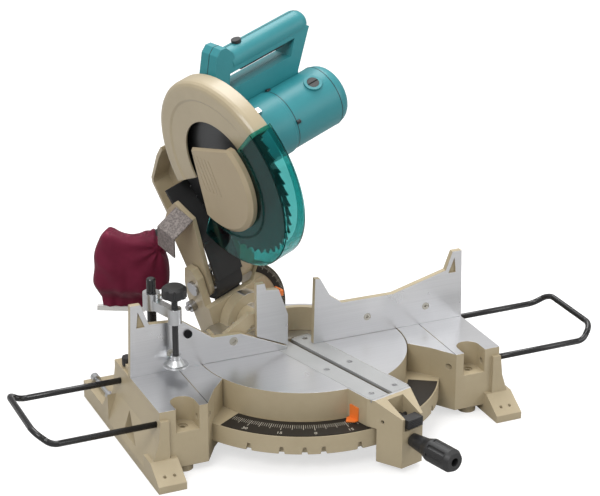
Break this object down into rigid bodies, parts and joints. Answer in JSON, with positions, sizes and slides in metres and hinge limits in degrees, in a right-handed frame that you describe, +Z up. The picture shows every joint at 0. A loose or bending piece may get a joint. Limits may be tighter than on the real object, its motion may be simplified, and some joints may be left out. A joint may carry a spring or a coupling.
{
  "type": "compound mitre saw",
  "caption": "Compound mitre saw with a turning table, tilting and chopping motor head, swinging blade guard, split fence, hold-down vise, side holders and dust bag.",
  "frame": {"origin": "centre of the bench bolt pattern at bench level, on the turntable axis", "axes": "+Z up from the bench, -Y towards the operator, +X to the operator's right; the fence face is the plane Y = 0"},
  "size_m": [0.9924, 0.6604, 0.6486],
  "materials": {
    "cast": "satin paint over cast aluminium",
    "alloy": "machined bright face with painted back",
    "teal": "fine moulded texture",
    "black": "moulded",
    "blackrod": "black oxide bar",
    "steel": "ground",
    "zinc": "die cast",
    "board": "moulded",
    "orange": "smooth",
    "scale": "printed plate",
    "clear": "clear tinted plastic",
    "hammer": "hammered grey paint",
    "cloth": "woven",
    "strip": "smooth",
    "rubber": "matt",
    "blade": "dark ground plate",
    "core": "laminated"
  },
  "bodies": {
    "base": {"base_casting": "cast", "mitre_scale": "scale", "guide_fence": "alloy", "fence_bolts": "steel", "pivot_bolt": "steel", "hex_wrench": "steel"},
    "left_lock": {"left_lock_screw": "black"},
    "right_lock": {"right_lock_screw": "black"},
    "left_bar": {"left_holder": "blackrod"},
    "right_bar": {"right_holder": "blackrod"},
    "swing_fence": {"pivot_fence": "alloy"},
    "vise_column": {"vise_post": "blackrod"},
    "vise_bracket": {"vise_arm": "zinc"},
    "vise_foot": {"vise_pad": "zinc"},
    "vise_spindle": {"vise_screw": "blackrod"},
    "turntable": {"turn_base": "cast", "kerf_board_left": "board", "kerf_board_right": "board", "kerf_screws": "steel", "mitre_pointer": "orange", "bevel_pointer": "orange", "bevel_bolt": "steel"},
    "mitre_lock": {"lock_grip": "black", "lock_rod": "steel"},
    "detent": {"lock_lever": "black"},
    "bevel_frame": {"arm_holder": "cast", "bevel_scale": "scale", "pivot_shaft": "steel", "stop_pin": "steel"},
    "bevel_lock": {"bevel_lever": "black"},
    "head": {"blade_case": "cast", "saw_arm": "cast", "gear_housing": "teal", "motor_housing": "teal", "motor_end_cover": "teal", "handle_front": "teal", "handle_rear": "teal", "housing_screws": "steel", "brush_caps": "black", "stator": "core", "bearings": "steel", "deflector_plate": "hammer", "dust_nozzle": "black", "dust_bag": "cloth", "bag_strip": "strip", "dust_flap": "rubber", "return_spring": "steel"},
    "shaft_stop": {"shaft_lock": "steel"},
    "switch_trigger": {"trigger": "black"},
    "lock_off": {"lock_button": "black"},
    "blade_set": {"spindle": "steel", "saw_blade": "blade", "inner_flange": "steel", "outer_flange": "steel", "arbor_bolt": "steel"},
    "rotor": {"armature": "core"},
    "guard": {"lower_guard": "clear", "centre_cover": "cast"}
  },
  "joints": [
    {"name": "mitre_turn", "type": "hinge", "parent": "base", "child": "turntable", "pos_m": [0, 0, 0.115], "axis": [0, 0, 1], "range_deg": [-63, 33]},
    {"name": "mitre_lock_turn", "type": "hinge", "parent": "turntable", "child": "mitre_lock", "pos_m": [0.07195, -0.26853, 0.055], "axis": [-0.2588, 0.9659, 0], "range_deg": [-90, 90]},
    {"name": "detent_press", "type": "hinge", "parent": "turntable", "child": "detent", "pos_m": [0.06263, -0.23375, 0.0817], "axis": [0.9659, 0.2588, 0], "range_deg": [0, 6], "stiffness_Nm_per_rad": 2, "springref_deg": -11.46},
    {"name": "bevel_tilt", "type": "hinge", "parent": "turntable", "child": "bevel_frame", "pos_m": [-0.04296, 0.16034, 0.115], "axis": [-0.2588, 0.9659, 0], "range_deg": [-30, 15]},
    {"name": "bevel_lock_turn", "type": "hinge", "parent": "bevel_frame", "child": "bevel_lock", "pos_m": [-0.04762, 0.17773, 0.115], "axis": [-0.2588, 0.9659, 0], "range_deg": [-30, 30]},
    {"name": "head_chop", "type": "hinge", "parent": "bevel_frame", "child": "head", "pos_m": [-0.06918, 0.17817, 0.19227], "axis": [0.933, 0.25, 0.2588], "range_deg": [0, 54.4], "stiffness_Nm_per_rad": 22, "springref_deg": -57.3},
    {"name": "guard_swing", "type": "hinge", "parent": "head", "child": "guard", "pos_m": [-0.10098, 0.06088, 0.4202], "axis": [0.933, 0.25, 0.2588], "range_deg": [-165, 0]},
    {"name": "blade_spin", "type": "hinge", "parent": "head", "child": "blade_set", "pos_m": [-0.10098, 0.06088, 0.4202], "axis": [0.933, 0.25, 0.2588], "continuous": true},
    {"name": "rotor_spin", "type": "hinge", "parent": "head", "child": "rotor", "pos_m": [-0.10688, 0.04371, 0.45808], "axis": [0.933, 0.25, 0.2588], "continuous": true},
    {"name": "trigger_pull", "type": "slide", "parent": "head", "child": "switch_trigger", "axis": [-0.25, -0.067, 0.9659], "range_m": [0, 0.0035], "stiffness_N_per_m": 1500, "springref_m": -0.002},
    {"name": "lock_off_press", "type": "slide", "parent": "head", "child": "lock_off", "axis": [0.25, 0.067, -0.9659], "range_m": [0, 0.003], "stiffness_N_per_m": 900, "springref_m": -0.002},
    {"name": "shaft_lock_press", "type": "slide", "parent": "head", "child": "shaft_stop", "axis": [0.0992, 0.5126, -0.8529], "range_m": [0, 0.003], "stiffness_N_per_m": 900, "springref_m": -0.002},
    {"name": "swing_fence_tip", "type": "hinge", "parent": "base", "child": "swing_fence", "pos_m": [-0.12, 0.01, 0.146], "axis": [0, 1, 0], "range_deg": [-70, 0]},
    {"name": "vise_swivel", "type": "hinge", "parent": "base", "child": "vise_column", "pos_m": [-0.246, 0.036, 0.115], "axis": [0, 0, 1], "range_deg": [-30, 3]},
    {"name": "vise_height", "type": "slide", "parent": "vise_column", "child": "vise_bracket", "axis": [0, 0, 1], "range_m": [-0.006, 0.012]},
    {"name": "vise_feed", "type": "slide", "parent": "vise_bracket", "child": "vise_foot", "axis": [0, 0, 1], "range_m": [-0.0115, 0.006]},
    {"name": "vise_screw_turn", "type": "hinge", "parent": "vise_foot", "child": "vise_spindle", "pos_m": [-0.228, -0.022, 0.215], "axis": [0, 0, 1], "range_deg": [-1520, 740]},
    {"name": "left_bar_slide", "type": "slide", "parent": "base", "child": "left_bar", "axis": [1, 0, 0], "range_m": [0, 0.05]},
    {"name": "right_bar_slide", "type": "slide", "parent": "base", "child": "right_bar", "axis": [1, 0, 0], "range_m": [-0.05, 0]},
    {"name": "left_lock_turn", "type": "hinge", "parent": "base", "child": "left_lock", "pos_m": [-0.285, 0.047, 0.115], "axis": [0, 0, 1], "range_deg": [-90, 90]},
    {"name": "right_lock_turn", "type": "hinge", "parent": "base", "child": "right_lock", "pos_m": [0.285, 0.047, 0.115], "axis": [0, 0, 1], "range_deg": [-90, 90]}
  ],
  "couplings": [
    {"joint": "guard_swing", "follows": "head_chop", "ratio": -2.94},
    {"joint": "rotor_spin", "follows": "blade_spin", "ratio": -3.2},
    {"joint": "vise_screw_turn", "follows": "vise_feed", "rad_per_m": 2094.4}
  ]
}
